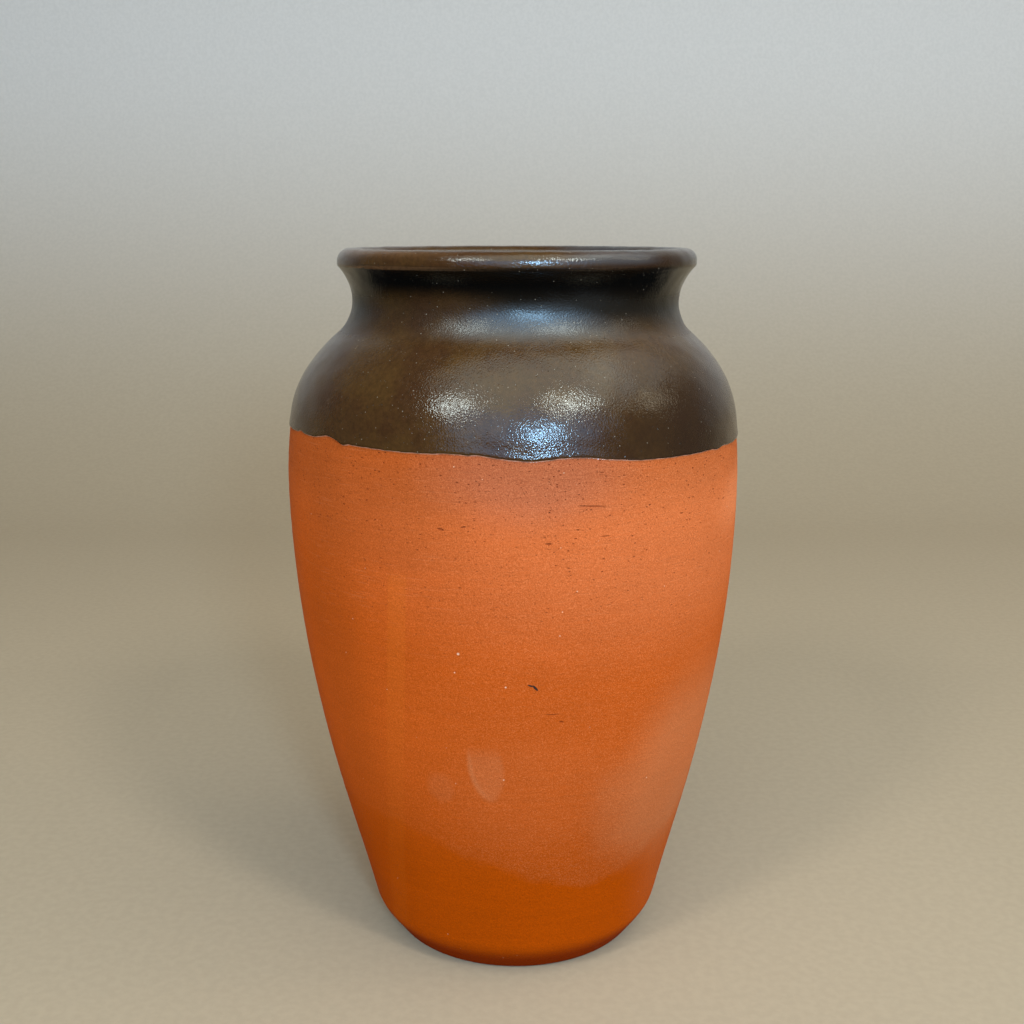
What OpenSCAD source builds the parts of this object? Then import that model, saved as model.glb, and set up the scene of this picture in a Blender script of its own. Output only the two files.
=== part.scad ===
// Wheel-thrown terracotta vase: one wall of red earthenware, with a dark glaze that was dipped
// over its lip, neck and shoulder and poured inside it. Millimetres, +Z up. The origin is the
// centre of the foot, on the surface that the vase stands on, and the front is towards -Y.

/* [Clay] */
// Height of the fired clay, from the foot to the top of the lip
clay_h = 219.6; // [205:0.2:245]
// Thickness of the wall from the belly up to the neck
wall_t = 6; // [4:0.25:8]
// Thickness of the floor inside the foot ring
floor_t = 8; // [5:0.5:12]
// Radius of the thrown curve between the floor and the wall inside
heel_round = 18; // [10:1:26]
// How far the inside's lower corner lies in from the crease at the foot
heel_in = 5; // [3:0.5:9]

/* [Foot] */
// Diameter of the foot where its bevel would meet the ground
foot_d = 79.6; // [74:0.2:86]
// Radius of the sponged edge between the ground and the bevel
foot_round = 2; // [1:0.25:4]
// Width of the ring that the vase stands on
foot_ring_w = 11; // [7:0.5:16]
// Depth of the shallow hollow turned inside the foot ring
hollow_depth = 2; // [1:0.25:3.5]
// Height of the turned bevel above the ground
bevel_h = 9; // [6:0.5:13]
// Diameter at the crease where the bevel would meet the wall
crease_d = 93; // [90:0.5:99]
// Lean of the wall just above the crease, in degrees out from upright
crease_lean = 13.5; // [9:0.5:20]
// How far the crease is softened, down the bevel and up the wall
crease_soft = 3; // [1:0.25:4]

/* [Flank and belly] */
// Height of the flank above the crease, a third of the way up to the belly
flank_h = 46; // [36:0.5:56]
// Diameter at the flank
flank_d = 116.6; // [112:0.2:122]
// Lean of the wall at the flank, in degrees out from upright
flank_lean = 13.5; // [9:0.5:18]
// Diameter of the belly at its widest
belly_d = 140.8; // [138:0.2:152]
// Height from the widest of the belly up to where the wall begins to turn in
belly_rise = 20; // [15:0.5:26]

/* [Shoulder] */
// Diameter where the wall begins to turn in
turn_d = 137.8; // [132:0.2:139]
// Lean of the wall there, in degrees in from upright
turn_lean = 8; // [4:0.5:14]
// Height of the turn, up to the slope of the shoulder
turn_rise = 14; // [10:0.5:18]
// Diameter at the slope of the shoulder
shoulder_d = 127.2; // [121:0.2:130]
// Lean of the wall on that slope, in degrees in from upright
shoulder_lean = 34; // [26:0.5:42]
// Height of the slope, up to the root of the neck
shoulder_rise = 9.8; // [7:0.2:13]

/* [Neck] */
// Diameter at the root of the neck, where the shoulder turns hollow
root_d = 110.6; // [106:0.2:116]
// Lean of the wall at the root of the neck, in degrees in from upright
root_lean = 45; // [35:0.5:55]
// Height from the root up to the narrowest of the neck
root_rise = 10.2; // [8:0.2:14]
// Diameter of the neck at its narrowest
neck_d = 99.5; // [92:0.5:103]
// Height from the narrowest of the neck up to the top of the lip
neck_rise = 15.6; // [12:0.2:20]

/* [Lip] */
// Diameter of the lip
lip_d = 109; // [104:0.2:116]
// Height of the lip, from the edge under it to its top
lip_h = 4.5; // [3.6:0.1:7]
// Thickness of the lip, which is fully round on top
lip_t = 6.5; // [5:0.1:7]
// Lean of the flare that carries the lip, in degrees out from upright
flare_lean = 45; // [35:0.5:55]
// Lean of the mouth just inside the lip, in degrees out from upright
mouth_lean = 25; // [15:0.5:35]

/* [Glaze] */
// Thickness of the fired glaze
coat_t = 0.4; // [0.2:0.05:1.2]
// Depth that the vase was dipped to, down from the top of the lip
dip_depth = 54; // [46:0.5:64]
// How far the vase was held off upright in the dip, as a rise of the glaze line
dip_rise = 1.9; // [0:0.1:4]
// Direction of the glaze line's highest point, in degrees around from +X
dip_rise_at = 210; // [0:5:360]

/* [Hidden] */
$fn = 144;

// Waves in the glaze line, each an angle around from +X, a rise and a spread in degrees
dip_waves = [
  [-168, -0.5, 4], [-139, 1.2, 4], [-132, -0.4, 2], [-104, 0.4, 5], [-87, -0.9, 6], [-75, 0.4, 5],
  [-55, -1.2, 16], [-32, -0.7, 3], [-6, -0.4, 7], [30, -0.8, 8], [62, 0.9, 10], [95, 0.5, 6],
  [118, -0.9, 9], [150, 0.7, 7]
];
dip_steps = 180;
dip_clear = 5;

// Longest straight run along a drawn curve, and the fewest runs in one
run_max = 8;
runs_min = 8;
// Turn between points on a small round, in degrees
round_step = 15;

neck_z = clay_h - neck_rise;
root_z = neck_z - root_rise;
shoulder_z = root_z - shoulder_rise;
turn_z = shoulder_z - turn_rise;
belly_z = turn_z - belly_rise;
inside_floor_z = hollow_depth + floor_t;
dip_z = clay_h - dip_depth;

// A station is [radius, height, lean]: a point that the wall passes, with its lean out from upright
function at(s) = [s[0], s[1]];
function upward(lean) = [sin(lean), cos(lean)];
function outward(lean) = [cos(lean), -sin(lean)];
function inset(s, t) = concat(at(s) - t * outward(s[2]), s[2]);

function unit(v) = v / norm(v);
function total(v) = v * [for (x = v) 1];
function reverse(list) = [for (i = [len(list) - 1 : -1 : 0]) list[i]];
function slice(list, first, last) = [for (i = [first : last]) list[i]];

function bezier(p, q, r, s, t) =
  pow(1 - t, 3) * p + 3 * pow(1 - t, 2) * t * q + 3 * (1 - t) * pow(t, 2) * r + pow(t, 3) * s;

// Points along the wall from one station up to just before the next, leaving and meeting at their leans
function climb(a, b) =
  let (
    chord = norm(at(b) - at(a)),
    runs = max(runs_min, ceil(chord / run_max)),
    p = at(a) + chord / 3 * upward(a[2]),
    q = at(b) - chord / 3 * upward(b[2])
  )
  [for (i = [0 : runs - 1]) bezier(at(a), p, q, at(b), i / runs)];

// Points along a wall that passes each station, without the last station's own point
function wall(stations) =
  [for (i = [0 : len(stations) - 2]) each climb(stations[i], stations[i + 1])];

function arc(centre, radius, from, to) =
  let (runs = ceil(abs(to - from) / round_step))
  [for (i = [0 : runs]) let (a = from + (to - from) * i / runs) centre + radius * [cos(a), sin(a)]];

// The corner b between points a and c, rounded on the right of the way from a to c
function rounded(a, b, c, radius) =
  let (
    back = unit(a - b),
    on = unit(c - b),
    half = acos(back * on) / 2,
    centre = b + unit(back + on) * radius / sin(half),
    from = atan2(back[0], -back[1]),
    to = atan2(-on[0], on[1])
  )
  arc(centre, radius, from, to);

foot_edge = [foot_d / 2, 0];
crease_corner = [crease_d / 2, bevel_h];
bevel_lean = atan2(crease_corner[0] - foot_edge[0], bevel_h);
bevel = concat(crease_corner - crease_soft * upward(bevel_lean), bevel_lean);
crease = concat(crease_corner + crease_soft * upward(crease_lean), crease_lean);
flank =[flank_d / 2, bevel_h + flank_h, flank_lean];
belly = [belly_d / 2, belly_z, 0];
turn = [turn_d / 2, turn_z, -turn_lean];
shoulder = [shoulder_d / 2, shoulder_z, -shoulder_lean];
root = [root_d / 2, root_z, -root_lean];
neck = [neck_d / 2, neck_z, 0];
lip_under = [lip_d / 2, clay_h - lip_h, flare_lean];

lip_round = lip_t / 2;
lip_centre = [lip_d / 2 - lip_round, clay_h - lip_round];
lip_top = arc(lip_centre, lip_round, 0, 180 - mouth_lean);
mouth = concat(lip_top[len(lip_top) - 1], mouth_lean);

heel_centre_z = inside_floor_z + heel_round;
heel = [crease_d / 2 - heel_in, heel_centre_z - heel_round * sin(crease_lean), crease_lean];
heel_centre = [heel[0] - heel_round * cos(crease_lean), heel_centre_z];
heel_curve = arc(heel_centre, heel_round, -crease_lean, -90);

// The clay's surface from the bevel up, over the lip and down inside to the middle of the floor
outside = concat(
  wall([bevel, crease, flank, belly, turn, shoulder, root, neck, lip_under]),
  [at(lip_under)],
  lip_top
);
inside_neck = wall([inset(neck, wall_t), mouth]);
inside_wall = wall(concat([heel], [for (s = [belly, turn, shoulder, root, neck]) inset(s, wall_t)]));
inside_floor = concat(slice(heel_curve, 1, len(heel_curve) - 1), [[0, inside_floor_z]]);
skin = concat(outside, reverse(inside_neck), reverse(inside_wall), inside_floor);

// The same surface, one glaze thickness out
function skin_way(i) = unit(skin[min(i + 1, len(skin) - 1)] - skin[max(i - 1, 0)]);
coat = [for (i = [0 : len(skin) - 1]) let (way = skin_way(i)) skin[i] + coat_t * [way[1], -way[0]]];

// The dipped and the poured glaze meet at the narrowest of the neck inside
meeting = len(outside) + len(inside_neck) - 1;

ring_inner = [foot_d / 2 - foot_ring_w, 0];
hollow_edge = [ring_inner[0] - hollow_depth, hollow_depth];
foot = concat(
  [[0, hollow_depth], hollow_edge, ring_inner],
  rounded(ring_inner, foot_edge, crease_corner, foot_round)
);

// Angle between two directions around the vase, the shorter way
function apart(a, b) = let (gap = abs(a - b) % 360) min(gap, 360 - gap);
function wave(a, w) = w[1] * exp(-pow(apart(a, w[0]) / w[2], 2));
function dip_line(a) =
  dip_z + dip_rise * cos(a - dip_rise_at) + total([for (w = dip_waves) wave(a, w)]);

module turned(outline) {
  rotate_extrude() polygon(outline);
}

// Layer of glaze over the skin's points first to last
module glaze(first, last) {
  turned(concat(slice(skin, first, last), reverse(slice(coat, first, last))));
}

// Everything below the wavy glaze line, out past the belly
module below_dip_line() {
  n = dip_steps;
  reach = belly_d / 2 + dip_clear;
  angles = [for (i = [0 : n - 1]) i * 360 / n];
  rim = [for (a = angles) [reach * cos(a), reach * sin(a), dip_line(a)]];
  base = [for (a = angles) [reach * cos(a), reach * sin(a), 0]];
  polyhedron(
    points = concat(rim, base, [[0, 0, dip_z], [0, 0, 0]]),
    faces = [
      for (i = [0 : n - 1]) let (j = (i + 1) % n)
        each [[2 * n, j, i], [i, j, n + j], [i, n + j, n + i], [2 * n + 1, n + i, n + j]]
    ]
  );
}

module clay_body() {
  color("#c4653a") turned(concat(foot, skin));
}

module shoulder_glaze() {
  color("#2f261c") difference() {
    glaze(0, meeting);
    below_dip_line();
  }
}

module liner_glaze() {
  color("#3a2d20") glaze(meeting, len(skin) - 1);
}

clay_body();
shoulder_glaze();
liner_glaze();
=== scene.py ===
"""Wheel-thrown terracotta vase with a dark glaze dipped over its top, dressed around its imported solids.

Shapes are worked out in millimetres and written in metres. Angles are in degrees around from +X, so the
front, towards -Y, is at -90. A length along the outline is measured from the middle of the underside.
"""

import math
from typing import NamedTuple

import bpy
import numpy as np
from mathutils import Matrix, Vector


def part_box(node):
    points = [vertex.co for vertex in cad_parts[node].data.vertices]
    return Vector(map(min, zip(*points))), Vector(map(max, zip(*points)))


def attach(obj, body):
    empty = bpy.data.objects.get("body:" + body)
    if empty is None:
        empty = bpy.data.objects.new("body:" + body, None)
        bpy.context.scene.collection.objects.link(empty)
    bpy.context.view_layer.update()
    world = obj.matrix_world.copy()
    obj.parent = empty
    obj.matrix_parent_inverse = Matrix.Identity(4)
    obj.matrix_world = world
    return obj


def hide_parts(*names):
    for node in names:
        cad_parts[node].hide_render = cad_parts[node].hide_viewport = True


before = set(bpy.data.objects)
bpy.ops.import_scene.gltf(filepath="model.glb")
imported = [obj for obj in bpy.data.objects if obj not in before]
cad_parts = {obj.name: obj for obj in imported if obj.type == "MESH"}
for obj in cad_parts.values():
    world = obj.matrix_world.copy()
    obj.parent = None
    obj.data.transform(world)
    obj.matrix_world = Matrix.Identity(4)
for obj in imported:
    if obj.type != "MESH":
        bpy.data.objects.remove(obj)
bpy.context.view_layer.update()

MM = 0.001
FRONT = -90

# Stations that the clay's wall passes outside: radius, height and lean out from upright
CREASE = (46.5, 9.0, 13.5)
FLANK = (58.3, 55.0, 13.5)
BELLY = (70.4, 150.0, 0.0)
TURN = (68.9, 170.0, -8.0)
SHOULDER = (63.6, 184.0, -34.0)
ROOT = (55.3, 193.8, -45.0)
NECK = (49.75, 204.0, 0.0)
LIP_UNDER = (54.5, 215.1, 45.0)

CLAY_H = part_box("clay_body")[1].z / MM
COAT_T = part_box("shoulder_glaze")[1].z / MM - CLAY_H
WALL_T = 6.0
LIP_ROUND = 3.25
MOUTH_LEAN = 25.0

FOOT_R = 39.8
FOOT_ROUND = 2.0
CREASE_SOFT = 3.0
FOOT_RING_W = 11.0
HOLLOW_DEPTH = 2.0
INSIDE_FLOOR = 10.0
HEEL_ROUND = 18.0
HEEL_IN = 5.0

# The glaze line: its mean height, its tilt, and waves of (angle, rise, spread)
DIP_Z = CLAY_H - 54.0
DIP_RISE = 1.9
DIP_RISE_AT = 210
DIP_WAVES = (
    (-168, -0.5, 4), (-139, 1.2, 4), (-132, -0.4, 2), (-104, 0.4, 5), (-87, -0.9, 6), (-75, 0.4, 5),
    (-55, -1.2, 16), (-32, -0.7, 3), (-6, -0.4, 7), (30, -0.8, 8), (62, 0.9, 10), (95, 0.5, 6),
    (118, -0.9, 9), (150, 0.7, 7),
)
# Small laps in the line where the glaze ran and dried
DIP_LAPS = (
    (-161, -0.35, 4), (-153.5, 0.5, 1.6), (-133.8, -0.25, 1.2), (-131, 0.3, 0.9), (-118, -0.2, 14),
    (-97.5, 0.3, 1.6), (-61.5, -0.15, 3), (-40, -0.45, 7), (-30, 0.25, 2.5), (-22, -0.75, 9),
    (8, 0.4, 2), (47, -0.3, 1.5), (78, 0.35, 2), (104, -0.3, 1.6), (136, 0.4, 2), (163, 0.3, 1.4),
)
DIP_TREMBLE = 0.06
DIP_TREMBLE_MIX = dict(count=14, turns=(40, 130), lengths=(10, 20), seed=3)
# How far above its mean line the glaze surely covers the clay
DIP_COVERS = 12.0

# Unevenness of hand work: the lean of the axis below and above the belly, and the oval of the wall
LEAN_FOOT = 0.9
LEAN_RIM = 1.3
OVAL = 0.06
OVAL_AT = 20

# The finger groove around the root of the neck
GROOVE_Z = 196.7
GROOVE_DEPTH = 0.48
GROOVE_SPREAD = 3.2

# Relief in the clay: turned marks on the wall, and trimmed rings that stop just below the bevel's top
TURNING_DEPTH = 0.05
TURNING_FINE_MIX = dict(count=10, turns=(0, 2), lengths=(3.2, 9), seed=11)
TURNING_BROAD_MIX = dict(count=8, turns=(1, 5), lengths=(25, 70), seed=12)
TRIM_DEPTH = 0.05
TRIM_PITCH = 2.1
TRIM_STOPS = 0.4

# How the dipped glaze thins out at its line, thickens just above it and swells over the wall, and how far
# its hidden side is sunk into the clay
EDGE_TAPER = 0.55
EDGE_BEAD = 0.05
EDGE_BEAD_AT = 1.6 * EDGE_TAPER
EDGE_BEAD_SPREAD = 1.0
COAT_WAVE = 0.05
COAT_WAVE_MIX = dict(count=30, turns=(6, 48), lengths=(6, 30), seed=21)
COAT_WAVE_GROWS = 3.0
COAT_SUNK = 0.08

# Where the dipped glaze is worn thin: waves around the lip, its edge below and its crest
LIP_WORN = ((-140, 0.95, 32), (-62, 0.2, 14), (20, 0.6, 40), (115, 0.7, 45))
WORN_EDGE_SPREAD = 0.35
WORN_CREST_BELOW = 0.6
WORN_CREST_SPREAD = 1.4
WORN_CREST_LEAST = 0.02
WORN_CREST_SHARE = 0.6

# Thrown rings under the poured glaze, which grow over a length down from the neck
RINGS_DEPTH = 0.55
RINGS_PITCH = 8.5
RINGS_SWELL = 0.3
RINGS_SWELL_MIX = dict(count=8, turns=(1, 4), lengths=(30, 90), seed=31)
RINGS_CALM = 12.0

# Rows of points: each stretch ends at a mark on the outline, or a little before or past it, with a length
# from row to row that is short where the shape turns and long where it is plain or covered
CLAY_FIRST_ROW = 1.5
CLAY_ROWS = (
    ("hollow", -4.5, 2.4), ("hollow", 1.0, 0.5), ("foot", -4.0, 1.2), ("foot", 0.6, 0.4),
    ("bevel", 0.0, 0.9), ("crease", 0.0, 0.4), ("covered", 0.0, 1.0), ("wall", -1.0, 2.5),
    ("throat", 0.0, 1.8), ("inside", 0.0, 9.0), ("heel", 0.0, 3.0), ("floor", -4.0, 6.0),
)
GLAZE_ROWS = (("line", 2.4, 0.3), ("wall", -1.5, 0.8), ("lip", 0.0, 0.42), ("throat", 0.0, 0.9))
LINER_ROWS = (("inside", 0.0, 1.5), ("heel", 0.0, 1.2), ("floor", -1.2, 1.2))
CLAY_SIDES = 320
GLAZE_SIDES = 480
LINER_SIDES = 256
# A coat's hidden side takes every third or fourth row, and hidden rows take little of the texture map
GLAZE_HIDDEN_EVERY = 3
LINER_HIDDEN_EVERY = 4
HIDDEN_WORTH = 0.05
HIDDEN_CLAY_SHARE = 0.04


def upward(lean):
    return np.array([math.sin(math.radians(lean)), math.cos(math.radians(lean))])


def outward(lean):
    return np.array([math.cos(math.radians(lean)), -math.sin(math.radians(lean))])


def inset(station, depth):
    return (*(np.array(station[:2]) - depth * outward(station[2])), station[2])


def climb(a, b, steps=60):
    """Points along the wall from station a to station b, leaving and meeting them at their leans."""
    start, end = np.array(a[:2]), np.array(b[:2])
    third = np.linalg.norm(end - start) / 3
    leave, meet = start + third * upward(a[2]), end - third * upward(b[2])
    t = np.linspace(0, 1, steps)[:, None]
    return (1 - t) ** 3 * start + 3 * (1 - t) ** 2 * t * leave + 3 * (1 - t) * t**2 * meet + t**3 * end


def wall(*stations):
    return np.concatenate([climb(a, b) for a, b in zip(stations, stations[1:])])


def arc(centre, radius, start, end, steps=40):
    turn = np.radians(np.linspace(start, end, steps))
    return np.array(centre) + radius * np.stack([np.cos(turn), np.sin(turn)], 1)


class Outline:
    """A line of (radius, height) points that is read by the length along it, with the clay on its left."""

    def __init__(self, **stretches):
        self.points = np.concatenate(list(stretches.values()))
        steps = np.linalg.norm(np.diff(self.points, axis=0), axis=1)
        self.length = np.concatenate([[0.0], np.cumsum(steps)])
        lasts = np.cumsum([len(points) for points in stretches.values()]) - 1
        self.end = dict(zip(stretches, self.length[lasts]))

    def at(self, s):
        return np.stack([np.interp(s, self.length, self.points[:, k]) for k in (0, 1)], -1)

    def along(self, s, reach=0.15):
        way = self.at(s + reach) - self.at(s - reach)
        return way / np.linalg.norm(way, axis=-1, keepdims=True)

    def out(self, s):
        way = self.along(s)
        return np.stack([way[..., 1], -way[..., 0]], -1)

    def outside(self, height):
        """The length along the outline at which the wall outside, below the lip, has this height."""
        part = (self.length >= self.end["bevel"]) & (self.length <= self.end["wall"])
        return np.interp(height, self.points[part, 1], self.length[part])


def foot_edge_arc():
    """The sponged edge between the ground and the bevel."""
    bevel = np.array(CREASE[:2]) - np.array([FOOT_R, 0.0])
    slope = math.degrees(math.atan2(bevel[1], bevel[0]))
    reach = FOOT_ROUND * math.tan(math.radians(slope / 2))
    return arc((FOOT_R - reach, FOOT_ROUND), FOOT_ROUND, -90, slope - 90)


def crease_stations():
    """Where the softened crease leaves the bevel and where it meets the wall."""
    corner = np.array(CREASE[:2])
    bevel_lean = math.degrees(math.atan2(CREASE[0] - FOOT_R, CREASE[1]))
    low = corner - CREASE_SOFT * upward(bevel_lean)
    high = corner + CREASE_SOFT * upward(CREASE[2])
    return (*low, bevel_lean), (*high, CREASE[2])


def clay_outline():
    ring_inner = FOOT_R - FOOT_RING_W
    bevel, crease = crease_stations()
    lip_centre = (LIP_UNDER[0] - LIP_ROUND, CLAY_H - LIP_ROUND)
    lip = arc(lip_centre, LIP_ROUND, 0, 180 - MOUTH_LEAN)
    mouth = (*lip[-1], MOUTH_LEAN)
    heel_lean = math.radians(CREASE[2])
    heel_z = INSIDE_FLOOR + HEEL_ROUND
    heel = (CREASE[0] - HEEL_IN, heel_z - HEEL_ROUND * math.sin(heel_lean), CREASE[2])
    heel_centre = (heel[0] - HEEL_ROUND * math.cos(heel_lean), heel_z)
    inside = [inset(station, WALL_T) for station in (BELLY, TURN, SHOULDER, ROOT, NECK)]
    return Outline(
        hollow=np.array([[0.0, HOLLOW_DEPTH], [ring_inner - HOLLOW_DEPTH, HOLLOW_DEPTH], [ring_inner, 0.0]]),
        foot=foot_edge_arc(),
        bevel=np.array([bevel[:2]]),
        crease=climb(bevel, crease),
        wall=wall(crease, FLANK, BELLY, TURN, SHOULDER, ROOT, NECK, LIP_UNDER),
        lip=lip,
        throat=wall(inside[-1], mouth)[::-1],
        inside=wall(heel, *inside)[::-1],
        heel=arc(heel_centre, HEEL_ROUND, -CREASE[2], -90),
        floor=np.array([[0.0, INSIDE_FLOOR]]),
    )


def outline_marks():
    """Lengths along the outline: where its stretches end, and where the glaze line and the lip's top are."""
    end = clay.end
    line, covered = clay.outside(DIP_Z), clay.outside(DIP_Z + DIP_COVERS)
    return end | {"line": line, "covered": covered, "lip_top": (end["wall"] + end["lip"]) / 2}


clay = clay_outline()
marks = outline_marks()


def rows(start, stretches):
    """Lengths along the outline from a start, over stretches of (mark, length past it, row spacing)."""
    parts = []
    for mark, past, gap in stretches:
        stop = marks[mark] + past
        parts.append(np.linspace(start, stop, max(2, round((stop - start) / gap)), endpoint=False))
        start = stop
    return np.concatenate([*parts, [start]])


def angles(count):
    """Directions around the vase, from the middle of the back."""
    return np.arange(count) * 360 / count - FRONT


def bell(away, spread):
    """1 in the middle, falling off on both sides."""
    return np.exp(-((away / spread) ** 2))


def waves(angle, shapes):
    """The sum of bell-shaped waves, each an angle, a rise and a spread."""
    total = np.zeros_like(angle, dtype=float)
    for centre, rise, spread in shapes:
        apart = (angle - centre + 180) % 360 - 180
        total += rise * bell(apart, spread)
    return total


def uneven(s, angle, count, turns, lengths, seed):
    """A smooth random mix of waves from -1 to 1, with whole turns around and the given lengths along."""
    draw = np.random.default_rng(seed)
    total = 0.0
    for _ in range(count):
        around = draw.integers(turns[0], turns[1] + 1) * draw.choice((-1, 1))
        along = 2 * math.pi / draw.uniform(*lengths)
        total = total + np.cos(around * np.radians(angle) + along * s + draw.uniform(0, 2 * math.pi))
    return np.clip(total / math.sqrt(2 * count), -1, 1)


def dip_line(angle):
    """Height of the glaze line."""
    tremble = DIP_TREMBLE * uneven(0.0, angle, **DIP_TREMBLE_MIX)
    tilt = DIP_RISE * np.cos(np.radians(angle - DIP_RISE_AT))
    return DIP_Z + tilt + waves(angle, DIP_WAVES) + waves(angle, DIP_LAPS) + tremble


def lean(height):
    """How far the thrown axis lies to the side at a height."""
    belly = BELLY[1]
    below = np.clip((belly - height) / belly, 0, 1)
    above = np.clip((height - belly) / (CLAY_H - belly), 0, 1) ** 2
    return LEAN_FOOT * below + LEAN_RIM * above


def groove(s):
    """Depth of the finger groove at lengths s along the outline."""
    away = clay.at(s)[..., 1] - GROOVE_Z
    return np.where(s < marks["wall"], GROOVE_DEPTH * bell(away, GROOVE_SPREAD), 0.0)


def surface(s, angle, lift):
    """Points on the vase at lengths s along the outline and angles around it, lifted off the clay."""
    point = clay.at(s) + (np.asarray(lift) - groove(s))[..., None] * clay.out(s)
    radius, height = point[..., 0], point[..., 1]
    oval = OVAL * (np.cos(2 * np.radians(angle - OVAL_AT)) - 1)
    radius = radius + oval * np.clip(radius / BELLY[0], 0, 1)
    turn = np.radians(angle)
    x = radius * np.cos(turn) + lean(height)
    y = radius * np.sin(turn)
    return np.stack(np.broadcast_arrays(x, y, height), -1) * MM


def pole(height):
    """The point on the thrown axis at a height."""
    return [lean(height) * MM, 0, height * MM]


def skin(name, grid, worth, poles=None):
    """A closed mesh on rows of points around the vase. Without two poles, its last row meets its first.

    worth is how much of the texture map each step from a row to the next takes.
    """
    row_count, cols = grid.shape[:2]
    steps = row_count - 1 if poles is not None else row_count
    i, j = np.meshgrid(np.arange(steps), np.arange(cols), indexing="ij")
    on, up = (j + 1) % cols, (i + 1) % row_count
    quads = np.stack([i * cols + j, i * cols + on, up * cols + on, up * cols + j], -1).reshape(-1, 4)
    points = grid.reshape(-1, 3)
    tall = np.concatenate([[0.0], np.cumsum(worth)]) / np.sum(worth)
    base = 1 if poles is not None else 0
    low, high = tall[i + base], tall[i + base + 1]
    left, right = j / cols, (j + 1) / cols
    uv = np.stack([left, low, right, low, right, high, left, high], -1).reshape(-1, 2)
    faces = quads.tolist()
    if poles is not None:
        points = np.concatenate([points, poles])
        first = np.arange(cols)
        second = (first + 1) % cols
        start, end = row_count * cols, row_count * cols + 1
        last_row = (row_count - 1) * cols
        faces += [[start, b, a] for a, b in zip(first.tolist(), second.tolist())]
        faces += [[last_row + a, last_row + b, end] for a, b in zip(first.tolist(), second.tolist())]
        a, b = first / cols, (first + 1) / cols
        middle = (a + b) / 2
        zero, one = np.zeros(cols), np.ones(cols)
        fan = np.stack([middle, zero, b, zero + tall[1], a, zero + tall[1]], -1).reshape(-1, 2)
        cap = np.stack([a, zero + tall[-2], b, zero + tall[-2], middle, one], -1).reshape(-1, 2)
        uv = np.concatenate([uv, fan, cap])
    mesh = bpy.data.meshes.new(name)
    mesh.from_pydata(points.tolist(), [], faces)
    mesh.shade_smooth()
    mesh.uv_layers.new(name="OFBake").data.foreach_set("uv", uv.ravel())
    piece = bpy.data.objects.new(name, mesh)
    bpy.context.scene.collection.objects.link(piece)
    return piece


def note(piece, name, values):
    """Keeps a number for each of the piece's points, for its material to read."""
    attribute = piece.data.attributes.new(name, "FLOAT", "POINT")
    attribute.data.foreach_set("value", np.ravel(values).astype(np.float32))


def dress(piece, node, material):
    piece.data.materials.append(material)
    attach(piece, "root")
    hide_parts(node)


def clay_relief(s, angle):
    """Turned marks on the wall and trimmed rings under it. None stands proud of the true outline."""
    bands = uneven(s, angle, **TURNING_FINE_MIX) + uneven(s, angle, **TURNING_BROAD_MIX)
    trimmed = np.sin(2 * math.pi * s / TRIM_PITCH + np.radians(angle))
    under = s < marks["bevel"] - TRIM_STOPS
    depth = np.where(under, TRIM_DEPTH * (trimmed - 1) / 2, TURNING_DEPTH * (bands - 2) / 2)
    return np.where(s > marks["covered"], 0.0, depth)


def clay_body():
    s = rows(CLAY_FIRST_ROW, CLAY_ROWS)
    angle = angles(CLAY_SIDES)
    grid = surface(s[:, None], angle, clay_relief(s[:, None], angle))
    shown = np.append(np.where(s < marks["covered"], 1.0, HIDDEN_CLAY_SHARE), HIDDEN_CLAY_SHARE)
    worth = np.diff(s, prepend=0.0, append=marks["floor"]) * shown
    return skin("vase_clay", grid, worth, [pole(HOLLOW_DEPTH), pole(INSIDE_FLOOR)])


def shoulder_glaze():
    angle = angles(GLAZE_SIDES)
    line = clay.outside(dip_line(angle))
    reach = marks["throat"] - marks["line"]
    climbed = rows(marks["line"], GLAZE_ROWS) - marks["line"]
    s_out = line + (climbed / reach)[:, None] * (marks["throat"] - line)
    edge = s_out - line
    taper = np.sqrt(1 - (1 - np.clip(edge / EDGE_TAPER, 0, 1)) ** 2)
    bead = EDGE_BEAD * bell(edge - EDGE_BEAD_AT, EDGE_BEAD_SPREAD)
    wave = COAT_WAVE * (uneven(s_out, angle, **COAT_WAVE_MIX) - 1)
    thick = (COAT_T + bead + wave * np.clip(edge / COAT_WAVE_GROWS, 0, 1)) * taper
    s_in = s_out[::-GLAZE_HIDDEN_EVERY]
    lift = np.concatenate([thick, np.full_like(s_in, -COAT_SUNK)])
    lift[0] = -COAT_SUNK
    grid = surface(np.concatenate([s_out, s_in]), angle, lift)
    worth = np.concatenate([np.diff(climbed), np.full(len(s_in) + 1, HIDDEN_WORTH)])
    piece = skin("vase_shoulder_glaze", grid, worth)

    worn = waves(angle, LIP_WORN)
    lip_edge = worn * bell(s_out - marks["wall"], WORN_EDGE_SPREAD)
    crest = bell(s_out - marks["lip_top"] + WORN_CREST_BELOW, WORN_CREST_SPREAD)
    crest = crest * (WORN_CREST_LEAST + WORN_CREST_SHARE * worn)
    hidden = np.zeros_like(s_in)
    note(piece, "edge", np.concatenate([edge, hidden]))
    note(piece, "thin", np.concatenate([np.maximum(lip_edge, crest), hidden]))
    return piece


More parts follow.
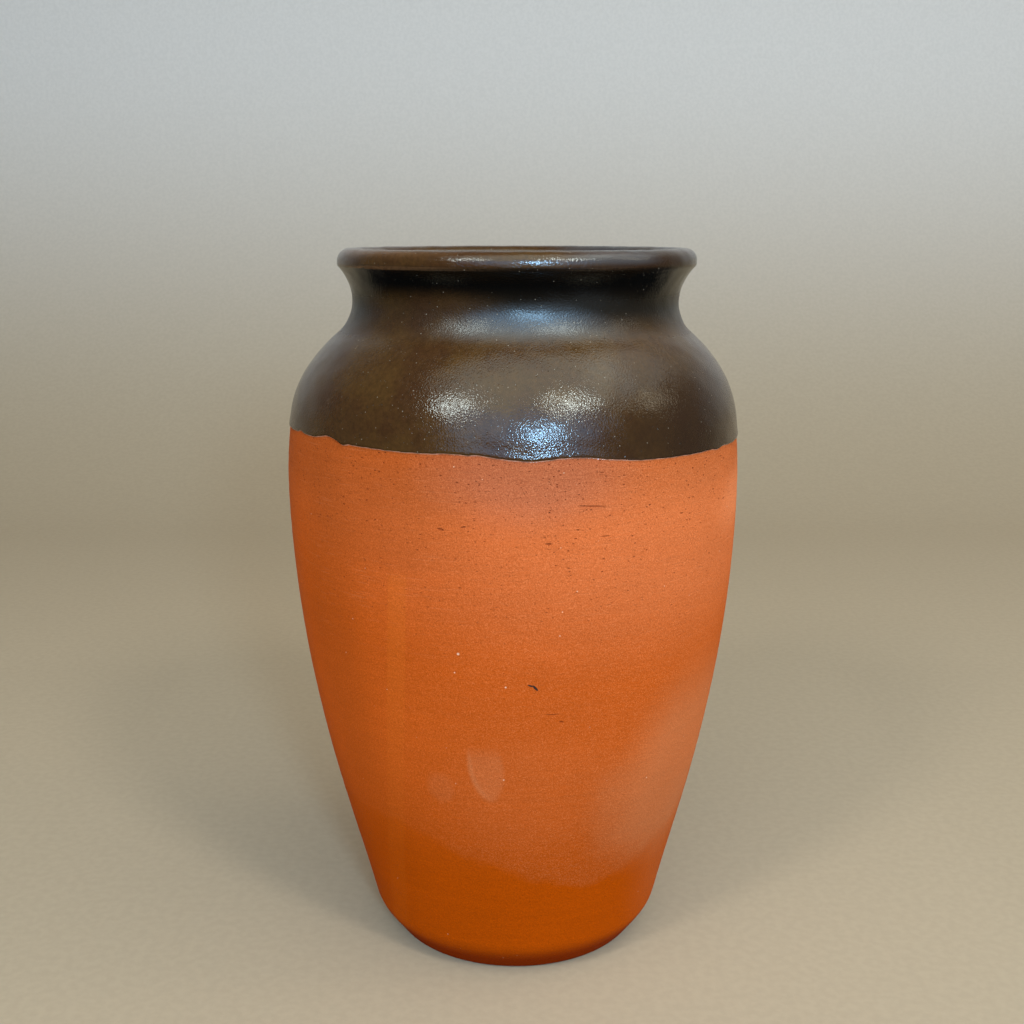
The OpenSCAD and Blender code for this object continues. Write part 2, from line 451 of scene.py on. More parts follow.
def liner_glaze():
    angle = angles(LINER_SIDES)
    down = rows(marks["throat"], LINER_ROWS)
    s_out = down[:, None]
    rings = 0.5 + 0.5 * np.sin(2 * math.pi * s_out / RINGS_PITCH + np.radians(angle))
    swell = 1 - RINGS_SWELL + RINGS_SWELL * uneven(s_out, angle, **RINGS_SWELL_MIX)
    calm = np.clip((s_out - marks["throat"]) / RINGS_CALM, 0, 1)
    thick = COAT_T + RINGS_DEPTH * rings * swell * calm
    s_in = down[::-LINER_HIDDEN_EVERY][:, None]
    lift = np.concatenate([np.zeros((len(s_in), len(angle))), thick])
    grid = surface(np.concatenate([s_in, s_out]), angle, lift)
    base, top = pole(INSIDE_FLOOR), pole(INSIDE_FLOOR)
    top[2] += (COAT_T + RINGS_DEPTH / 2) * MM
    hidden = np.full(len(s_in) + 1, HIDDEN_WORTH)
    worth = np.concatenate([hidden, np.diff(down, append=marks["floor"])])
    return skin("vase_liner_glaze", grid, worth, [base, top])


class Noise(NamedTuple):
    """Noise from 0 to 1 with features of about this size, and how its place is squeezed, if at all."""

    size: float
    detail: float = 2.0
    rough: float = 0.5
    squeeze: tuple = None


class Spots(NamedTuple):
    """Round spots of random sizes, up to a radius, in a share of the cells of a loose grid."""

    spacing: float
    radius: float
    share: float
    squeeze: tuple = None


class Patch(NamedTuple):
    """An oval on the wall outside: its middle, its half sizes, its tilt, and its soft and ragged edge."""

    angle: float
    height: float
    half_wide: float
    half_high: float
    tilt: float = 0.0
    soft: float = 0.5
    ragged: float = 0.0


class Fade(NamedTuple):
    """A value's way from start to end, as a number from low to high."""

    start: float
    end: float
    low: float = 0.0
    high: float = 1.0
    smooth: bool = True


# The smallest of the random spots and the solid middle of each, as shares of the radius
SPOT_LEAST = 0.35
SPOT_CORE = 0.4
# How deep a patch reaches beyond its half width, and the finest raggedness of its edge
PATCH_DEPTH = 3.0
RAGGED_LEAST = 0.8


class Paint:
    """A material that grows one node at a time. An input is a number, a colour or another node's output."""

    def __init__(self, name):
        self.material = bpy.data.materials.new(name)
        self.material.use_nodes = True
        self.tree = self.material.node_tree
        self.tree.nodes.clear()
        self.place = self.stretched(self.add("TexCoord").outputs["Object"], (1 / MM,) * 3)
        self.sideways, self.ahead, self.height = self.add("SeparateXYZ", {0: self.place}).outputs

    def add(self, kind, inputs=None, **settings):
        node = self.tree.nodes.new("ShaderNode" + kind)
        for name, value in settings.items():
            setattr(node, name, value)
        for key, value in (inputs or {}).items():
            if isinstance(value, bpy.types.NodeSocket):
                self.tree.links.new(value, node.inputs[key])
            else:
                node.inputs[key].default_value = value
        return node

    def stretched(self, vector, factors):
        return self.add("VectorMath", {0: vector, 1: factors}, operation="MULTIPLY").outputs[0]

    def squeezed(self, factors):
        return self.stretched(self.place, factors) if factors else self.place

    def kept(self, name):
        """A number that the mesh keeps for each of its points."""
        return self.add("Attribute", attribute_name=name).outputs["Fac"]

    def math(self, operation, a, b=0.0):
        return self.add("Math", {0: a, 1: b}, operation=operation).outputs[0]

    def times(self, first, *others):
        for other in others:
            first = self.math("MULTIPLY", first, other)
        return first

    def most(self, first, *others):
        for other in others:
            first = self.math("MAXIMUM", first, other)
        return first

    def faded(self, value, fade):
        inputs = {"Value": value, "From Min": fade.start, "From Max": fade.end}
        inputs |= {"To Min": fade.low, "To Max": fade.high}
        kind = "SMOOTHSTEP" if fade.smooth else "LINEAR"
        return self.add("MapRange", inputs, interpolation_type=kind).outputs["Result"]

    def noise(self, noise):
        inputs = {"Vector": self.squeezed(noise.squeeze), "Scale": 1 / noise.size}
        inputs |= {"Detail": noise.detail, "Roughness": noise.rough}
        return self.add("TexNoise", inputs).outputs["Fac"]

    def spots(self, spots):
        """1 in the middles of the spots."""
        cells = self.add("TexVoronoi", {"Vector": self.squeezed(spots.squeeze), "Scale": 1 / spots.spacing})
        chance = self.add("SeparateColor", {0: cells.outputs["Color"]})
        size = self.faded(chance.outputs["Green"], Fade(0, 1, SPOT_LEAST, 1.0, smooth=False))
        away = self.math("DIVIDE", cells.outputs["Distance"], size)
        radius = spots.radius / spots.spacing
        spot = self.faded(away, Fade(radius, SPOT_CORE * radius))
        drawn = self.math("LESS_THAN", chance.outputs["Red"], spots.share)
        return self.times(spot, drawn)

    def patch(self, patch):
        """1 on the patch, fading over its edge."""
        s = clay.outside(patch.height)
        turn = math.radians(patch.angle)
        radial = Vector((math.cos(turn), math.sin(turn), 0))
        around = Vector((-math.sin(turn), math.cos(turn), 0))
        way, out = clay.along(s), clay.out(s)
        up = radial * way[0] + Vector((0, 0, way[1]))
        normal = radial * out[0] + Vector((0, 0, out[1]))
        lie = math.radians(patch.tilt)
        first = around * math.cos(lie) + up * math.sin(lie)
        second = up * math.cos(lie) - around * math.sin(lie)
        turned = Matrix((first, second, normal)).transposed().to_euler()
        centre = radial * clay.at(s)[0] + Vector((lean(patch.height), 0, patch.height))
        inputs = {"Vector": self.place, "Location": centre, "Rotation": turned}
        inputs["Scale"] = (patch.half_wide, patch.half_high, PATCH_DEPTH + patch.half_wide)
        local = self.add("Mapping", inputs, vector_type="TEXTURE").outputs[0]
        away = self.add("VectorMath", {0: local}, operation="LENGTH").outputs["Value"]
        if patch.ragged:
            blur = self.noise(Noise(max(patch.half_high, RAGGED_LEAST), detail=3))
            away = self.math("ADD", away, self.faded(blur, Fade(0, 1, -patch.ragged, patch.ragged, False)))
        return self.faded(away, Fade(1 + patch.soft, 1 - patch.soft))

    def blended(self, colour, overlay, *masks):
        """The colour, with as much of the overlay as the product of the masks."""
        return self.add("Mix", {0: self.times(*masks), 6: colour, 7: overlay}, data_type="RGBA").outputs[2]

    def dimmed(self, colour, factor):
        return self.add("VectorMath", {0: colour, "Scale": factor}, operation="SCALE").outputs[0]

    def toned(self, colour, value, fade):
        """The colour, made lighter and darker by a value."""
        return self.dimmed(colour, self.faded(value, fade))

    def layered(self, first, *others):
        """The sum of layers, each a value and its rise, which is below zero where it sinks in."""
        total = self.times(*first)
        for layer in others:
            total = self.math("ADD", total, self.times(*layer))
        return total

    def finish(self, colour, roughness, relief, specular, tint=(1, 1, 1, 1), chalky=0.0):
        """Ends the nodes in one shader, with the relief in millimetres as its bump."""
        bump = self.add("Bump", {"Height": relief, "Distance": MM})
        inputs = {"Base Color": colour, "Roughness": roughness, "Normal": bump.outputs[0]}
        inputs |= {"Specular IOR Level": specular, "Specular Tint": tint, "Diffuse Roughness": chalky}
        shader = self.add("BsdfPrincipled", inputs)
        self.add("OutputMaterial", {"Surface": shader.outputs[0]})
        return self.material


# Colours of the fired clay from the foot up, darker below with painted shade that is strongest at the foot,
# of painted sheen, reflection and shade on it, and of what lies on it
CLAY_FOOT_SHADE = (0.205, 0.019, 0.0004, 1)
CLAY_LOW = (0.385, 0.0535, 0.0005, 1)
CLAY_MID = (0.497, 0.078, 0.0055, 1)
CLAY_HIGH = (0.508, 0.092, 0.013, 1)
CLAY_PALE = (0.78, 0.235, 0.085, 1)
CLAY_REFLECTED_STRIPE = (0.74, 0.18, 0.016, 1)
CLAY_LAMP_SHEEN = (0.47, 0.135, 0.065, 1)
CLAY_PIT_SHADE = (0.24, 0.036, 0.009, 1)
CLAY_GRIT = (0.80, 0.56, 0.36, 1)
CLAY_HAZE_AND_SHEEN = (0.58, 0.31, 0.14, 1)
CLAY_CHAR = (0.035, 0.022, 0.016, 1)

# Heights over which the clay turns from one colour to the next, and painted shade darkens it below the glaze
CLAY_CLIMB = ((Fade(3, 11), CLAY_LOW), (Fade(30, 82), CLAY_MID), (Fade(130, 162), CLAY_HIGH))
CLAY_SHADE_BELOW_GLAZE = Fade(146, 162, 1.0, 0.82)

# Painted sheen, pale on the right, pinkish grey below the glaze: the place, the colour and how much of it
CLAY_PAINTED_SHEEN = (
    (Patch(-46, 140, 72, 25, soft=0.75), CLAY_PALE, 0.29),
    (Patch(-14, 148, 17, 8, tilt=8, soft=0.7, ragged=0.2), CLAY_PALE, 0.38),
    (Patch(-86, 162, 24, 12, soft=0.6, ragged=0.2), CLAY_LAMP_SHEEN, 0.5),
)
# Places on the left of the front where painted shade makes the clay darker, and by how much
CLAY_PAINTED_SHADE = (
    (Patch(-140, 116, 12, 48, soft=0.8), Fade(0, 1, 1.0, 0.88)),
    (Patch(-119, 145, 22, 12, soft=0.75), Fade(0, 1, 1.0, 0.9)),
)

# Noises in the clay, and how much they lighten and darken it
CLAY_CLOUDS = Noise(34, detail=3)
CLAY_STREAKS = Noise(1.7, detail=3, squeeze=(0.03, 0.03, 1))
CLAY_GRAIN = Noise(0.3, detail=1, rough=0.6)
CLAY_SAND = Noise(0.75, detail=1)
CLOUD_TONE = Fade(0.3, 0.7, 0.965, 1.035)
STREAK_TONE = Fade(0.3, 0.7, 0.98, 1.02)
GRAIN_TONE = Fade(0.25, 0.75, 0.75, 1.25, smooth=False)

# Scratches of the rib on the upper wall
HAIRLINES = Noise(0.4, detail=1, squeeze=(0.04, 0.04, 1))
SCRATCH_EDGE = Fade(0.6, 0.72)
SCRATCH_HEIGHT = Fade(95, 130)
SCRATCH_SHARE = 0.12

# Pits that scraping opened, most of them on the upper wall, with cuts, charred flakes and pale grits
CRUMB_SQUEEZE = (0.55, 0.55, 1.3)
CRUMBS = Spots(1.7, 0.27, 1.0, CRUMB_SQUEEZE)
FINE_CRUMBS = Spots(1.0, 0.17, 0.9, CRUMB_SQUEEZE)
CRUMB_HEIGHT = Fade(96, 148, 0.1, 1.0)
HOLES = Spots(1.3, 0.29, 0.65, squeeze=(0.7, 0.7, 1.15))
HOLE_HEIGHT = Fade(138, 152)
CUTS = tuple(Patch(*cut, soft=0.4, ragged=0.45) for cut in (
    (-72.3, 153.2, 3.6, 0.17, -4), (-106.1, 147.0, 0.9, 0.24, -12), (-100.9, 147.9, 0.7, 0.2, 10),
    (-82.3, 143.4, 0.8, 0.22, 0), (-69.2, 144.7, 1.3, 0.12, 0), (-78.4, 90.9, 0.6, 0.18, -8),
    (-80.7, 93.4, 1.6, 0.1, 0),
))
# Pits and cuts are darkened with painted shade
PIT_SHADE_SHARE = 0.66
CHAR = tuple(Patch(*flake, soft=0.3, ragged=0.2) for flake in (
    (-86.1, 102.5, 0.8, 0.25, -20), (-85.0, 101.8, 1.1, 0.34, -48),
))
GRIT_SPOTS = Spots(4.2, 0.26, 0.5)
GRITS = tuple(Patch(angle, height, radius, radius, soft=0.3) for angle, height, radius in (
    (-103.0, 111.6, 0.36), (-92.0, 102.1, 0.26), (-104.1, 105.9, 0.2), (-92.9, 72.5, 0.22),
))
GRIT_SHARE = 0.65

# The dust on the wall: the height of its lower edge, which falls to the right, rises again and is ragged
DUST_FALLS = Fade(-35, 20, 51.5, 32, smooth=False)
DUST_RISES = Fade(30, 55, 0, 14, smooth=False)
DUST_RAGS = Noise(9)
DUST_RAGGED = Fade(0, 1, -4, 4, smooth=False)
DUST_EDGE = Fade(-1.5, 3)
DUST_SIDE = Fade(-45, 8, 0.3, 1.0)
DUST_ON_GRAIN = Fade(0.5, 0.75, smooth=False)
DUST_SHARE = 0.015
DUST_GRAIN_SHARE = 0.2

# Smudges that hands left, and hazes: the place and how much haze. The thumb's has a brighter rim
SMUDGES_AND_SHEEN = (
    # The haze on the right and the one at the left edge are partly painted sheen
    (Patch(-34, 66, 26, 30, tilt=-18, soft=0.45, ragged=0.35), 0.18),
    (Patch(-22, 34, 16, 24, soft=0.7, ragged=0.2), 0.07),
    (Patch(-172, 128, 15, 48, soft=0.7, ragged=0.2), 0.07),
    (Patch(-84, 66, 25, 18, soft=0.3, ragged=0.2), 0.02),
    (Patch(-110.5, 68, 4, 5, soft=0.3, ragged=0.2), 0.045),
)
THUMB = Patch(-97.6, 77, 5.0, 12, tilt=6, soft=0.15, ragged=0.08)
THUMB_INSIDE = Patch(-96.7, 78.2, 5.0, 12, tilt=6, soft=0.12)
THUMB_TOP = Fade(84.5, 78)
THUMB_SHARE = 0.09
THUMB_RIM_SHARE = 0.09

# A pale stripe of painted reflection down the left of the front: how far to the left it runs, its edge,
# its top and how much of it
STRIPE_LEFT = Fade(140, 40, 31.5, 35.7, smooth=False)
STRIPE_EDGE = Fade(3.0, 2.3)
STRIPE_TOP = Fade(135, 131)
STRIPE_SHARE = Fade(60, 125, 0.04, 0.11)

# Rise of the clay's fine relief, and its gloss
STREAK_RISE = 0.03
GRAIN_RISE = 0.04
SAND_RISE = 0.22
SCRATCH_RISE = -0.04
PIT_RISE = -0.4
CLAY_ROUGH = Fade(0.2, 0.8, 0.52, 0.7, smooth=False)
CLAY_SPECULAR = 0.012
CLAY_CHALKY = 0.5


def clay_pits(paint):
    crumbs = paint.most(paint.spots(CRUMBS), paint.spots(FINE_CRUMBS))
    crumbs = paint.times(crumbs, paint.faded(paint.height, CRUMB_HEIGHT))
    holes = paint.times(paint.spots(HOLES), paint.faded(paint.height, HOLE_HEIGHT))
    return paint.most(crumbs, holes, *[paint.patch(cut) for cut in CUTS])


# The clay's colour, with painted shade low down, below the glaze and on the left, and painted sheen
def clay_colour_and_painted_light(paint, streaks, grain):
    colour = CLAY_FOOT_SHADE
    for fade, higher in CLAY_CLIMB:
        colour = paint.blended(colour, higher, paint.faded(paint.height, fade))
    for place, overlay, share in CLAY_PAINTED_SHEEN:
        colour = paint.blended(colour, overlay, paint.patch(place), share)
    colour = paint.toned(colour, paint.height, CLAY_SHADE_BELOW_GLAZE)
    colour = paint.toned(colour, paint.noise(CLAY_CLOUDS), CLOUD_TONE)
    colour = paint.toned(colour, streaks, STREAK_TONE)
    colour = paint.toned(colour, grain, GRAIN_TONE)
    for place, fade in CLAY_PAINTED_SHADE:
        colour = paint.toned(colour, paint.patch(place), fade)
    return colour


def dusty_colour(paint, colour, grain):
    edge = paint.faded(paint.sideways, DUST_FALLS)
    edge = paint.math("ADD", edge, paint.faded(paint.sideways, DUST_RISES))
    edge = paint.math("ADD", edge, paint.faded(paint.noise(DUST_RAGS), DUST_RAGGED))
    dusty = paint.faded(paint.math("SUBTRACT", paint.height, edge), DUST_EDGE)
    dusty = paint.times(dusty, paint.faded(paint.sideways, DUST_SIDE))
    colour = paint.blended(colour, CLAY_HAZE_AND_SHEEN, dusty, DUST_SHARE)
    return paint.blended(colour, CLAY_HAZE_AND_SHEEN, dusty, paint.faded(grain, DUST_ON_GRAIN), DUST_GRAIN_SHARE)


# Hand smudges and hazes, partly painted sheen, and a pale stripe of painted reflection
def smudged_colour_with_painted_light(paint, colour):
    for place, share in SMUDGES_AND_SHEEN:
        colour = paint.blended(colour, CLAY_HAZE_AND_SHEEN, paint.patch(place), share)
    thumb = paint.times(paint.patch(THUMB), paint.faded(paint.height, THUMB_TOP))
    inside = paint.math("MINIMUM", thumb, paint.patch(THUMB_INSIDE))
    rim = paint.math("SUBTRACT", thumb, inside)
    colour = paint.blended(colour, CLAY_HAZE_AND_SHEEN, thumb, THUMB_SHARE)
    colour = paint.blended(colour, CLAY_HAZE_AND_SHEEN, rim, THUMB_RIM_SHARE)
    across = paint.math("ADD", paint.sideways, paint.faded(paint.height, STRIPE_LEFT))
    stripe = paint.faded(paint.math("ABSOLUTE", across), STRIPE_EDGE)
    stripe = paint.times(stripe, paint.faded(paint.height, STRIPE_TOP))
    in_front = paint.math("LESS_THAN", paint.ahead, 0)
    return paint.blended(colour, CLAY_REFLECTED_STRIPE, stripe, in_front, paint.faded(paint.height, STRIPE_SHARE))


def terracotta():
    paint = Paint("terracotta")
    streaks, grain, sand = paint.noise(CLAY_STREAKS), paint.noise(CLAY_GRAIN), paint.noise(CLAY_SAND)
    scratches = paint.faded(paint.noise(HAIRLINES), SCRATCH_EDGE)
    scratches = paint.times(scratches, paint.faded(paint.height, SCRATCH_HEIGHT))
    pits = clay_pits(paint)
    colour = clay_colour_and_painted_light(paint, streaks, grain)
    colour = dusty_colour(paint, colour, grain)
    colour = paint.blended(colour, CLAY_PALE, scratches, SCRATCH_SHARE)
    colour = smudged_colour_with_painted_light(paint, colour)
    colour = paint.blended(colour, CLAY_PIT_SHADE, pits, PIT_SHADE_SHARE)
    for flake in CHAR:
        colour = paint.blended(colour, CLAY_CHAR, paint.patch(flake))
    grit = paint.most(paint.spots(GRIT_SPOTS), *[paint.patch(place) for place in GRITS])
    colour = paint.blended(colour, CLAY_GRIT, grit, GRIT_SHARE)
    relief = paint.layered(
        (streaks, STREAK_RISE), (grain, GRAIN_RISE), (sand, SAND_RISE), (scratches, SCRATCH_RISE),
        (pits, PIT_RISE),
    )
    return paint.finish(colour, paint.faded(grain, CLAY_ROUGH), relief, CLAY_SPECULAR, chalky=CLAY_CHALKY)


# Colours of the glaze: brown, olive, black where it is thick, pooled with painted shade, in painted shade
# under the lip, broken over edges, of painted sheen, at its line, in its flecks and of its shine
GLAZE_DARK = (0.044, 0.0165, 0.0045, 1)
GLAZE_OLIVE = (0.063, 0.028, 0.006, 1)
GLAZE_BLACK = (0.022, 0.010, 0.005, 1)
GLAZE_POOL_AND_SHADE = (0.010, 0.006, 0.003, 1)
GLAZE_LIP_SHADE = (0.002, 0.0014, 0.001, 1)
GLAZE_BREAK = (0.15, 0.070, 0.028, 1)
GLAZE_PAINTED_SHEEN = (0.085, 0.085, 0.085, 1)
GLAZE_LINE = (0.50, 0.21, 0.12, 1)
GLAZE_FLECK = (0.34, 0.28, 0.20, 1)
GLAZE_SHINE = (0.80, 0.93, 0.93, 1)
GLAZE_SPECULAR = 0.5

# Noises and spots in the dipped glaze, and how they vary its colour
GLAZE_POOLS = Noise(22, detail=4, rough=0.6)
GLAZE_MOTTLE = Noise(1.3, detail=3, rough=0.6)
GLAZE_DIMPLES = Noise(0.5, detail=1, rough=0.6)
GLAZE_FLECKS = Spots(1.5, 0.24, 0.5)
GLAZE_POCKS = Spots(1.7, 0.3, 0.8)
GLAZE_PINHOLES = Spots(5.0, 0.36, 0.5)
OLIVE_SHARE = Fade(0.35, 0.65)
MOTTLE_TONE = Fade(0.25, 0.75, 0.75, 1.25, smooth=False)
FLECK_SHARE = 0.6
PINHOLE_TONE = Fade(0, 1, 1.0, 0.3)

# Where the glaze lies thick on the shoulder, and pools outside the neck below the lip, less so on the left
THICK = Patch(-42, 172, 28, 16, soft=0.7, ragged=0.3)
THICK_SHARE = 0.8
LIP_TOP = marks["lip_top"] - marks["line"]
OUTSIDE_LIP = Fade(LIP_TOP + 1, LIP_TOP - 1)
BELOW_LIP = Fade(216.2, 214.6)
# The pool also holds painted shade, and painted shade lies deep under the lip
POOL_AND_SHADE_HEIGHT = Fade(194, 204)
LIP_SHADE_HEIGHT = Fade(205, 211)
BROWN = Patch(-124, 203, 20, 10, soft=0.7, ragged=0.2)
BROWN_POOL_AND_SHADE = Fade(0, 1, 1.0, 0.35)

# The lip is darker to the right, with a painted grey sheen over it and in the hollow of the neck
LIP_HEIGHT = Fade(214.5, 216)
LIP_RIGHT = Fade(8, 34)
LIP_RIGHT_SHARE = 0.75
SHEEN_HEIGHT = Fade(215.4, 217.2)
SHEEN_STARTS = Fade(10, 24)
SHEEN_STOPS = Fade(45, 34)
NECK_PAINTED_SHEEN = Patch(-85, 200.4, 20, 4, soft=0.6, ragged=0.15)
PAINTED_SHEEN_SHARE = 0.43

# Where the glaze breaks over worn edges and thins out at its line
BREAK_SHARE = Fade(0.2, 0.6, 0.5, 1.0)
LINE_WEAR = Noise(2.2)
LINE_WEAR_SHARE = Fade(0.3, 0.6, 0.35, 1.0)
LINE_EDGE = Fade(0.34, 0.1)

# Rise of the glaze's fine relief, and its gloss, which is duller in the hollow of the neck
DIMPLE_RISE = 0.085
POCK_RISE = -0.06
PINHOLE_RISE = -0.15
GLAZE_ROUGH = Fade(0.25, 0.75, 0.12, 0.18, smooth=False)
HOLLOW_STARTS = Fade(191, 198)
HOLLOW_STOPS = Fade(210, 204)
HOLLOW_ROUGH = Fade(0, 1, 0.0, 0.17)


def neck_colour(paint, colour, edge):
    """The colour, with pooled glaze and painted shade below the lip, and painted sheen on neck and lip."""
    height, sideways = paint.height, paint.sideways
    below_lip = paint.times(paint.faded(edge, OUTSIDE_LIP), paint.faded(height, BELOW_LIP))
    left_share = paint.faded(paint.patch(BROWN), BROWN_POOL_AND_SHADE)
    colour = paint.blended(colour, GLAZE_POOL_AND_SHADE, paint.faded(height, POOL_AND_SHADE_HEIGHT), below_lip, left_share)
    colour = paint.blended(colour, GLAZE_LIP_SHADE, paint.faded(height, LIP_SHADE_HEIGHT), below_lip)
    lip_right = paint.times(paint.faded(height, LIP_HEIGHT), paint.faded(sideways, LIP_RIGHT))
    colour = paint.blended(colour, GLAZE_BLACK, lip_right, LIP_RIGHT_SHARE)
    sheen = paint.times(paint.faded(sideways, SHEEN_STARTS), paint.faded(sideways, SHEEN_STOPS))
    sheen = paint.times(sheen, paint.faded(height, SHEEN_HEIGHT))
    return paint.blended(colour, GLAZE_PAINTED_SHEEN, paint.most(sheen, paint.patch(NECK_PAINTED_SHEEN)), PAINTED_SHEEN_SHARE)


def dipped_glaze():
    paint = Paint("dipped_glaze")
    height = paint.height
    mottle, pinholes = paint.noise(GLAZE_MOTTLE), paint.spots(GLAZE_PINHOLES)
    edge, thin = paint.kept("edge"), paint.kept("thin")
    colour = paint.blended(GLAZE_DARK, GLAZE_OLIVE, paint.faded(paint.noise(GLAZE_POOLS), OLIVE_SHARE))
    colour = paint.toned(colour, mottle, MOTTLE_TONE)
    colour = paint.blended(colour, GLAZE_BLACK, paint.patch(THICK), THICK_SHARE)
    colour = neck_colour(paint, colour, edge)
    colour = paint.blended(colour, GLAZE_BREAK, thin, paint.faded(mottle, BREAK_SHARE))
    colour = paint.blended(colour, GLAZE_FLECK, paint.spots(GLAZE_FLECKS), FLECK_SHARE)
    wear = paint.faded(paint.noise(LINE_WEAR), LINE_WEAR_SHARE)
    colour = paint.blended(colour, GLAZE_LINE, paint.faded(edge, LINE_EDGE), wear)
    colour = paint.toned(colour, pinholes, PINHOLE_TONE)
    relief = paint.layered(
        (paint.noise(GLAZE_DIMPLES), DIMPLE_RISE), (paint.spots(GLAZE_POCKS), POCK_RISE),
        (pinholes, PINHOLE_RISE),
    )
    hollow = paint.times(paint.faded(height, HOLLOW_STARTS), paint.faded(height, HOLLOW_STOPS))
    roughness = paint.math("ADD", paint.faded(mottle, GLAZE_ROUGH), paint.faded(hollow, HOLLOW_ROUGH))
    return paint.finish(colour, roughness, relief, GLAZE_SPECULAR, tint=GLAZE_SHINE)


# The poured glaze inside
LINER_POOLS = Noise(16, detail=4, rough=0.6)
LINER_MOTTLE = Noise(1.6, detail=3, rough=0.6)
LINER_RISE = 0.03
LINER_ROUGH = Fade(0.25, 0.75, 0.24, 0.36, smooth=False)


def poured_glaze():
    paint = Paint("poured_glaze")
    mottle = paint.noise(LINER_MOTTLE)
    colour = paint.blended(GLAZE_DARK, GLAZE_OLIVE, paint.faded(paint.noise(LINER_POOLS), OLIVE_SHARE))
    colour = paint.toned(colour, mottle, MOTTLE_TONE)
    relief = paint.times(mottle, LINER_RISE)
    return paint.finish(colour, paint.faded(mottle, LINER_ROUGH), relief, GLAZE_SPECULAR)


# The floor runs back and then sweeps up, in metres
FLOOR_HALF = 3.0
FLOOR_BACK = 0.55
SWEEP_ROUND = 0.45
SWEEP_STEPS = 24
SWEEP_TOP = 2.2
# Its colours below and above, the millimetres of height between them, and its fine unevenness
FLOOR_COLOUR = (0.41, 0.325, 0.215, 1)
WALL_COLOUR = (0.64, 0.615, 0.57, 1)
# The floor's darker, warmer colour and the sweep's lighter, greyer one are painted light
FLOOR_TO_WALL = Fade(0, 450)
FLOOR_CLOUDS = Noise(3, detail=4)
FLOOR_TONE = Fade(0.3, 0.7, 0.97, 1.03)
FLOOR_GRAIN = Noise(1.2)
FLOOR_RISE = 0.05
STAGE_ROUGH = 0.9
FLOOR_SPECULAR = 0.2


def pale_floor():
    turn = np.radians(np.linspace(-90, 0, SWEEP_STEPS))
    bend_y = FLOOR_BACK + SWEEP_ROUND * np.cos(turn)
    bend_z = SWEEP_ROUND + SWEEP_ROUND * np.sin(turn)
    y = np.concatenate([[-FLOOR_HALF], bend_y, [bend_y[-1]]])
    z = np.concatenate([[0.0], bend_z, [SWEEP_TOP]])
    points = [(x, b, c) for b, c in zip(y, z) for x in (-FLOOR_HALF, FLOOR_HALF)]
    faces = [(2 * i, 2 * i + 1, 2 * i + 3, 2 * i + 2) for i in range(len(y) - 1)]
    mesh = bpy.data.meshes.new("floor")
    mesh.from_pydata(points, [], faces)
    mesh.shade_smooth()
    floor = bpy.data.objects.new("floor", mesh)
    bpy.context.scene.collection.objects.link(floor)
    paint = Paint("floor")
    colour = paint.blended(FLOOR_COLOUR, WALL_COLOUR, paint.faded(paint.height, FLOOR_TO_WALL))
    colour = paint.toned(colour, paint.noise(FLOOR_CLOUDS), FLOOR_TONE)
    relief = paint.times(paint.noise(FLOOR_GRAIN), FLOOR_RISE)
    mesh.materials.append(paint.finish(colour, STAGE_ROUGH, relief, FLOOR_SPECULAR))


# The card on the floor, in metres, with a bay in which the vase stands
CARD_FAR = -2.5
CARD_HALF = 1.5
CARD_BACK = 0.25
BAY_FRONT = -0.12
BAY_HALF = 0.17
CARD_RISE = 0.002
# Its colours, and the millimetres over which it turns lighter in front, to the left and to the right
CARD_DARK = (0.014, 0.014, 0.014, 1)
CARD_LEFT = (0.26, 0.12, 0.045, 1)
CARD_RIGHT = (0.20, 0.20, 0.21, 1)
CARD_AWAY = Fade(-120, -320)
CARD_LEFTWARD = Fade(-120, -330)
CARD_RIGHTWARD = Fade(120, 330)
CARD_GRAIN = Noise(2)
CARD_SPECULAR = 0.1


def dark_card():
    """Gives the glaze under the lip something dark to mirror. Only reflections show it."""
    outline = [
        (-CARD_HALF, CARD_FAR), (CARD_HALF, CARD_FAR), (CARD_HALF, CARD_BACK), (BAY_HALF, CARD_BACK),
        (BAY_HALF, BAY_FRONT), (-BAY_HALF, BAY_FRONT), (-BAY_HALF, CARD_BACK), (-CARD_HALF, CARD_BACK),
    ]
    points = [(x, y, CARD_RISE) for x, y in outline]
    mesh = bpy.data.meshes.new("dark_card")
    mesh.from_pydata(points, [], [(0, 1, 4, 5), (1, 2, 3, 4), (5, 6, 7, 0)])
    card = bpy.data.objects.new("dark_card", mesh)
    card.visible_camera = False
    card.visible_diffuse = False
    card.visible_shadow = False
    bpy.context.scene.collection.objects.link(card)
    paint = Paint("dark_card")
    away = paint.faded(paint.ahead, CARD_AWAY)
    colour = paint.blended(CARD_DARK, CARD_LEFT, paint.faded(paint.sideways, CARD_LEFTWARD), away)
    colour = paint.blended(colour, CARD_RIGHT, paint.faded(paint.sideways, CARD_RIGHTWARD), away)
    mesh.materials.append(paint.finish(colour, STAGE_ROUGH, paint.noise(CARD_GRAIN), CARD_SPECULAR))


# Where the lamps point, in metres
AIM = Vector((0, 0, 0.15))
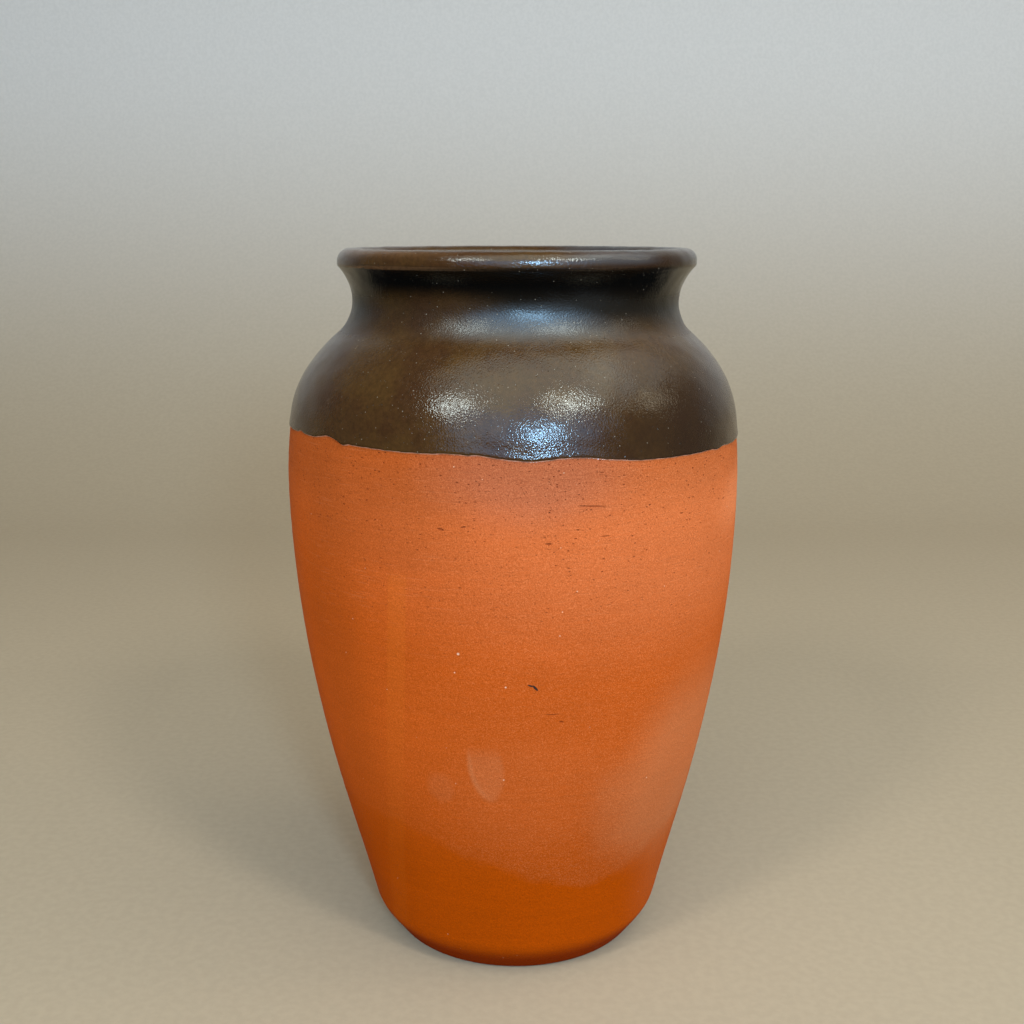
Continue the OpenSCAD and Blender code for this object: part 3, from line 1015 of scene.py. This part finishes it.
# Lamps: azimuth to the right of the camera's side, elevation, distance, size, brightness and colour
LAMPS = {
    "top_panel": (17, 61, 1.5, (2.2, 1.3), 1.9, (0.98, 1.0, 0.94)),
    "right_panel": (96, 50, 1.5, (1.0, 0.8), 1.0, (1.0, 0.97, 0.92)),
    "low_panel": (6, 21, 1.5, (2.1, 0.8), 2.4, (0.34, 0.62, 1.0)),
    "left_lamp": (-34, 39.5, 1.3, (0.18, 0.24), 30, (1.0, 0.98, 0.94)),
    "right_lamp": (33, 41, 1.3, (0.18, 0.24), 36, (1.0, 0.97, 0.92)),
    "side_lamp": (82, 30, 1.3, (0.18, 0.24), 5, (1.0, 0.82, 0.62)),
    "low_lamp": (13, 15.5, 1.3, (0.13, 0.2), 125, (0.42, 0.68, 1.0)),
}
WORLD_GREY = (0.1, 0.1, 0.1, 1)


def softbox(name, azimuth, elevation, distance, size, brightness, colour):
    """A lamp that faces the vase, with an even bright face."""
    a, e = math.radians(azimuth), math.radians(elevation)
    back = Vector((math.sin(a) * math.cos(e), -math.cos(a) * math.cos(e), math.sin(e)))
    lamp = bpy.data.lights.new(name, "AREA")
    lamp.shape = "RECTANGLE"
    lamp.size, lamp.size_y = size
    lamp.energy = brightness * math.pi * size[0] * size[1]
    lamp.color = colour
    holder = bpy.data.objects.new(name, lamp)
    holder.location = AIM + back * distance
    holder.rotation_euler = back.to_track_quat("Z", "Y").to_euler()
    holder.visible_camera = False
    bpy.context.scene.collection.objects.link(holder)


def lights():
    for name, settings in LAMPS.items():
        softbox(name, *settings)
    world = bpy.data.worlds.new("studio")
    world.use_nodes = True
    world.node_tree.nodes["Background"].inputs["Color"].default_value = WORLD_GREY
    bpy.context.scene.world = world


# The camera, fitted to the photograph
CAMERA_LENS = 45.7
CAMERA_SENSOR = 36
CAMERA_NEAREST = 0.01
CAMERA_PITCH = 12.343
CAMERA_PLACE = (-0.3, -406.7, 226.0)


def camera():
    data = bpy.data.cameras.new("camera")
    data.lens = CAMERA_LENS
    data.sensor_width = CAMERA_SENSOR
    data.clip_start = CAMERA_NEAREST
    holder = bpy.data.objects.new("camera", data)
    holder.location = Vector(CAMERA_PLACE) * MM
    holder.rotation_euler = (math.radians(90 - CAMERA_PITCH), 0, 0)
    bpy.context.scene.collection.objects.link(holder)
    bpy.context.scene.camera = holder


dress(clay_body(), "clay_body", terracotta())
dress(shoulder_glaze(), "shoulder_glaze", dipped_glaze())
dress(liner_glaze(), "liner_glaze", poured_glaze())
pale_floor()
dark_card()
lights()
camera()
bpy.context.scene.view_settings.view_transform = "Standard"
